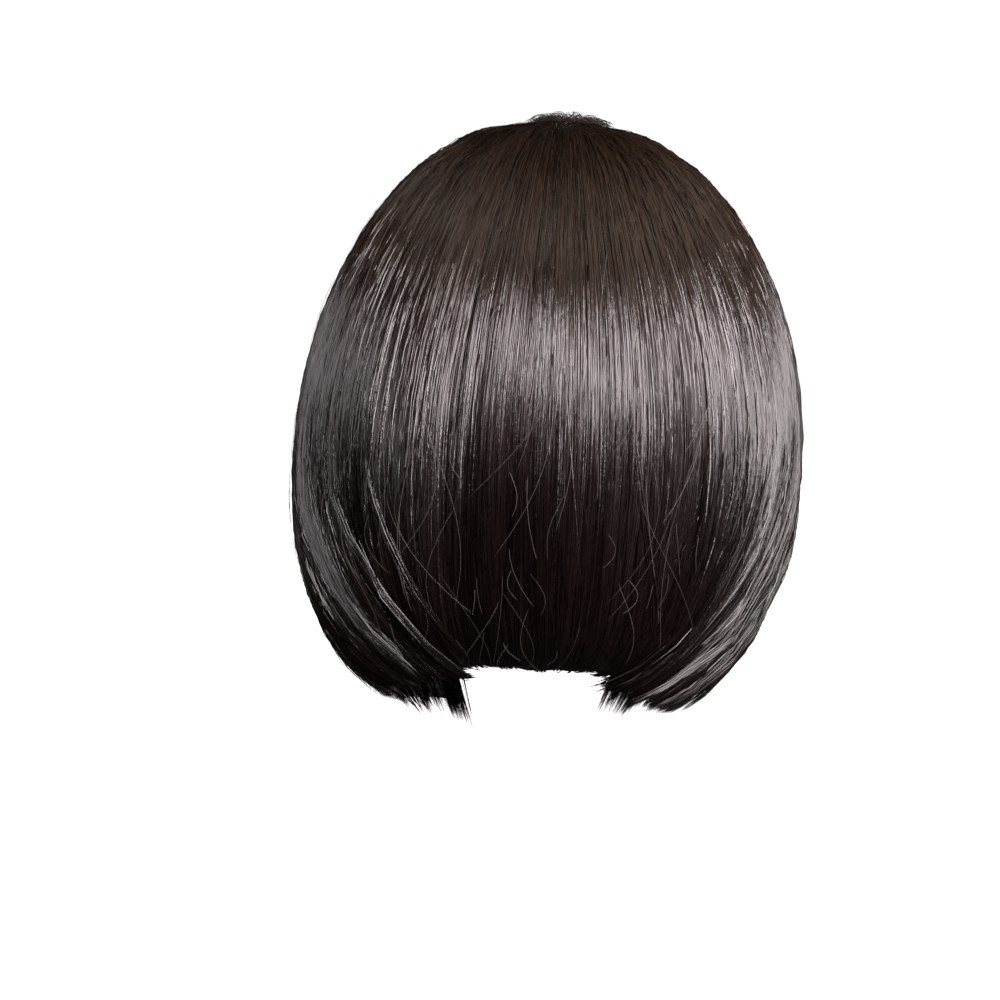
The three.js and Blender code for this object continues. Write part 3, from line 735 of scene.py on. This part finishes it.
# The fringe falls over the brow in a full, nearly straight line. Its rows of hair are sewn along the front
# of the cap, and it is cut shorter and lies thinner than the rest.
FRINGE = {
    "azimuth": (142, 160, 180, 200, 218),
    "fullness": (0.92, 0.98, 1.0, 0.98, 0.92),
    "widest": (0.76, 0.84, 0.86, 0.84, 0.76),
    "hem": (1.0, 0.3, 0.0, 0.3, 1.0),
    "tuck": (0.93, 0.95, 0.96, 0.95, 0.93),
    "width": HEAD_WIDTH + 2 * FRINGE_SIDE_DEPTH,
    "back": HEAD_LENGTH / 2,
    "front": HEAD_LENGTH / 2 + FRINGE_DEPTH,
    "short": 0.084,
    "long": 0.106,
}
fringe_body = hair_body("fringe_body", FRINGE, (142, 218), (0.018, 0.985), 50, 30, packed_outer, wall_depth)
finish_hair(fringe_body, packed, "hair", "fringe")
rng = np.random.default_rng(41)
fringe_strands = strands(
    "fringe_strands",
    [
        comb(rng, FRINGE, (141, 219), 700, INNER_WIDTH, LOWER_DEPTH, steps=11, start=(0.012, 0.5), pitch=6),
        comb(rng, FRINGE, (141, 219), 700, EDGE_WIDTH, TOP_DEPTH, steps=11, start=(0.012, 0.5), pitch=6),
    ],
)
finish_hair(fringe_strands, fibre, "hair")


# The nape layer is short hair sewn low on the cap, close under the back section. Its uneven tips show
# below the blunt hem.
NAPE_WIDTH = 0.00045
NAPE_DEPTH = (0.0035, 0.0075)
NAPE_ROOT_WALL = 0.030
NAPE_TIP_WALL = 0.002


def nape_outer(azimuth, way):
    return wall_depth(azimuth, way) + 0.0006


def nape_inner(azimuth, way):
    wall = NAPE_ROOT_WALL + (NAPE_TIP_WALL - NAPE_ROOT_WALL) * smooth(0.8, 1.0, way)
    return nape_outer(azimuth, way) + wall


nape_body = hair_body("nape_body", LONG, (-54, 54), (0.76, 1.01), 60, 10, nape_outer, nape_inner)
finish_hair(nape_body, packed, "under_hair", "nape_layer")
rng = np.random.default_rng(51)
nape_strands = strands(
    "nape_strands",
    [
        comb(rng, LONG, (-56, 56), 700, NAPE_WIDTH, NAPE_DEPTH, steps=8, start=(0.8, 0.95), end=(1.0, 1.12)),
    ],
)
finish_hair(nape_strands, fibre, "under_hair")


# At the crown all the hair meets in a small tuft: short hairs that stand up in low arcs and lie down again.
# They are sewn in last, where the rows of the cap close, and are too short to be combed flat.
TUFT_HAIRS = 700
TUFT_RADIUS = 0.011
TUFT_PEAK = 0.0054
TUFT_ASIDE = -0.004
TUFT_SINK = 0.0012
TUFT_REACH = (0.003, 0.012)
TUFT_WIDTH = (0.00016, 0.00030)
ROOTS_RADIUS = 0.0115
ROOTS_DEPTH = 0.0070
ROOTS_HEIGHT = 0.0040
rng = np.random.default_rng(61)
turned = rng.uniform(0, 2 * np.pi, (TUFT_HAIRS, 1))
foot = TUFT_RADIUS * np.sqrt(rng.uniform(0, 1, (TUFT_HAIRS, 1)))
t = np.linspace(0, 1, 9)[None]
aside = rng.normal(0, 0.4, (TUFT_HAIRS, 1)) + np.where(foot < 0.005, rng.normal(0, 1.2, (TUFT_HAIRS, 1)), 0)
heading = turned + aside + rng.normal(0, 0.5, (TUFT_HAIRS, 1)) * t
reach = rng.uniform(*TUFT_REACH, (TUFT_HAIRS, 1))
across = TUFT_ASIDE + foot * np.cos(turned) + reach * t * np.cos(heading)
along = foot * np.sin(turned) + reach * t * np.sin(heading)
peak = TUFT_PEAK * rng.uniform(0.2, 1, (TUFT_HAIRS, 1)) ** 1.7 * (1 - 0.5 * (foot / TUFT_RADIUS) ** 2)
height = dome_height(across, along) - TUFT_SINK + peak * np.sin(np.pi * (0.12 + 0.83 * t)) ** 0.8
tuft_centres = combed_forward(np.stack((across, along, height), axis=-1))
tuft_width = rng.uniform(*TUFT_WIDTH, (TUFT_HAIRS, 1)) + 0 * t
tuft_roll = rng.normal(0, 0.12, (TUFT_HAIRS, 1)) + 0 * t
tuft_tone = rng.uniform(0.2, 1, TUFT_HAIRS)
tuft = strand_mesh("crown_tuft_hairs", tuft_centres, tuft_width, tuft_tone, tuft_roll, 0 * tuft_roll)


# Hairs that don't lie in the combed sheet have no common shine, so they look dull. Each has its own tone.
def dull_hair(name, dark, pale):
    material, nodes, links = node_tree(name)
    shader = nodes["Principled BSDF"]
    shader.inputs["IOR"].default_value = 1.55
    shader.inputs["Roughness"].default_value = 0.6
    own = nodes.new("ShaderNodeUVMap")
    own.uv_map = "strand"
    split = nodes.new("ShaderNodeSeparateXYZ")
    links.new(own.outputs["UV"], split.inputs["Vector"])
    tone = nodes.new("ShaderNodeValToRGB")
    tone.color_ramp.elements[0].color = dark
    tone.color_ramp.elements[1].color = pale
    links.new(split.outputs["X"], tone.inputs["Fac"])
    links.new(tone.outputs["Color"], shader.inputs["Base Color"])
    return material


crown_fibre = dull_hair("crown_fibre", (0.004, 0.002, 0.001, 1), (0.030, 0.019, 0.011, 1))
finish_hair(tuft, crown_fibre, "hair", "crown_tuft")

# Their roots are packed close, in a low mound that closes the crown.
bpy.ops.object.select_all(action="DESELECT")
bpy.ops.mesh.primitive_uv_sphere_add(segments=32, ring_count=16, radius=1)
crown_base = bpy.context.active_object
crown_base.name = "crown_roots"
ball = points_of(crown_base.data)
across, along = ROOTS_RADIUS * ball[:, 0], ROOTS_RADIUS * ball[:, 1]
height = dome_height(across, along) - ROOTS_DEPTH + ROOTS_HEIGHT * ball[:, 2]
crown_points = combed_forward(np.stack((across, along, height), axis=-1))
crown_base.data.vertices.foreach_set("co", crown_points.ravel())
bpy.ops.object.shade_smooth()
finish_hair(crown_base, packed, "hair", "crown_tuft")


# A few hundred single hairs have worked loose and cross the others. They are still sewn in at the cap, and
# lie in long bends just over the surface.
LOOSE = 260
LOOSE_LIFT = (0.0002, 0.0013)
LOOSE_WIDTH = (0.00012, 0.00020)
rng = np.random.default_rng(71)
loose_azimuth = rng.uniform(-140, 140, (LOOSE, 1))
loose_start = rng.uniform(0.15, 0.88, (LOOSE, 1)) ** 0.8
loose_length = 0.05 + 0.26 * rng.uniform(0, 1, (LOOSE, 1)) ** 2
t = np.linspace(0, 1, 16)[None]
way = np.minimum(loose_start + loose_length * t, 1.04)
bend = rng.normal(0, 6, (LOOSE, 1)) * t**1.4 + rng.normal(0, 3, (LOOSE, 1)) * np.sin(np.pi * t)
bend = bend * loose_length / 0.16
lift = 0.0003 + rng.uniform(*LOOSE_LIFT, (LOOSE, 1)) * np.sin(np.pi * t) ** 0.7
loose_centres = hair_point(LONG, loose_azimuth + bend, way, -lift - swell(loose_azimuth + bend, way))
loose_width = rng.uniform(*LOOSE_WIDTH, (LOOSE, 1)) + 0 * t
loose_roll = rng.normal(0, 0.3, (LOOSE, 1)) + 0 * t
loose = strand_mesh(
    "loose_hairs", loose_centres, loose_width, rng.uniform(0.3, 1, LOOSE), loose_roll, 0 * loose_roll
)

# These hairs are the same dark fibre. Their pale grey base colour is a painted sheen for the light they
# catch.
loose_painted_sheen_fibre = dull_hair("loose_painted_sheen_fibre", (0.002, 0.001, 0.001, 1), (0.075, 0.064, 0.057, 1))
finish_hair(loose, loose_painted_sheen_fibre, "hair")


# A pale studio: a wide floor far below, and a white surround that lights the wig only faintly. Soft windows
# behind the wig give the hair its band of shine.
bpy.ops.object.select_all(action="DESELECT")
bpy.ops.mesh.primitive_plane_add(size=80, location=(0, 0, -1.2))
floor = bpy.context.active_object
floor.name = "floor"
paper, nodes, links = node_tree("white_paper")
nodes["Principled BSDF"].inputs["Base Color"].default_value = (0.9, 0.9, 0.9, 1)
nodes["Principled BSDF"].inputs["Roughness"].default_value = 0.9
nodes["Principled BSDF"].inputs["Emission Color"].default_value = (1, 1, 1, 1)
nodes["Principled BSDF"].inputs["Emission Strength"].default_value = 1.0
floor.data.materials.append(paper)
floor.visible_diffuse = False
floor.visible_glossy = False
world = bpy.data.worlds.new("studio")
bpy.context.scene.world = world
world.use_nodes = True
nodes = world.node_tree.nodes
links = world.node_tree.links
sky = nodes["Background"]
sky.inputs["Color"].default_value = (1, 1, 1, 1)
path = nodes.new("ShaderNodeLightPath")
bright = nodes.new("ShaderNodeMapRange")
bright.inputs["To Min"].default_value = 0.015
bright.inputs["To Max"].default_value = 1.0
links.new(path.outputs["Is Camera Ray"], bright.inputs["Value"])
links.new(bright.outputs["Result"], sky.inputs["Strength"])


def soft_light(name, place, target, size, power, colour=(1, 1, 1)):
    data = bpy.data.lights.new(name, "AREA")
    data.shape = "RECTANGLE"
    data.size, data.size_y = size
    data.energy = power
    data.color = colour
    light = bpy.data.objects.new(name, data)
    bpy.context.scene.collection.objects.link(light)
    light.location = place
    facing = (Vector(target) - Vector(place)).to_track_quat("-Z", "Y")
    light.rotation_euler = facing.to_euler()
    light.visible_camera = False
    return light


soft_light("window", (-0.44, 1.64, 0.66), (0, 0, -0.08), (1.5, 1.22), 112, (1, 0.91, 0.92))
soft_light("window_right", (-1.72, 0.46, 0.15), (0, 0, -0.1), (1.3, 0.8), 43, (1, 0.92, 0.93))
soft_light("window_left", (1.72, 0.46, 0.04), (0, 0, -0.1), (1.3, 0.8), 14, (1, 0.94, 0.96))
soft_light("ceiling", (0, -0.1, 1.6), (0, 0, 0), (3.0, 1.6), 6, (1, 0.93, 0.85))
soft_light("lamp", (0, 0.16, 1.5), (0, 0, 0), (1.3, 0.3), 2.0, (1, 0.93, 0.85))
soft_light("front_fill", (0.2, -1.75, -0.4), (0, 0, -0.14), (1.0, 0.8), 11)
soft_light("front_left", (1.2, -1.4, -0.4), (0, 0, -0.14), (0.8, 1.0), 9)
soft_light("front_right", (-1.2, -1.4, -0.4), (0, 0, -0.14), (0.8, 1.0), 9)
bpy.context.scene.view_settings.view_transform = "Standard"
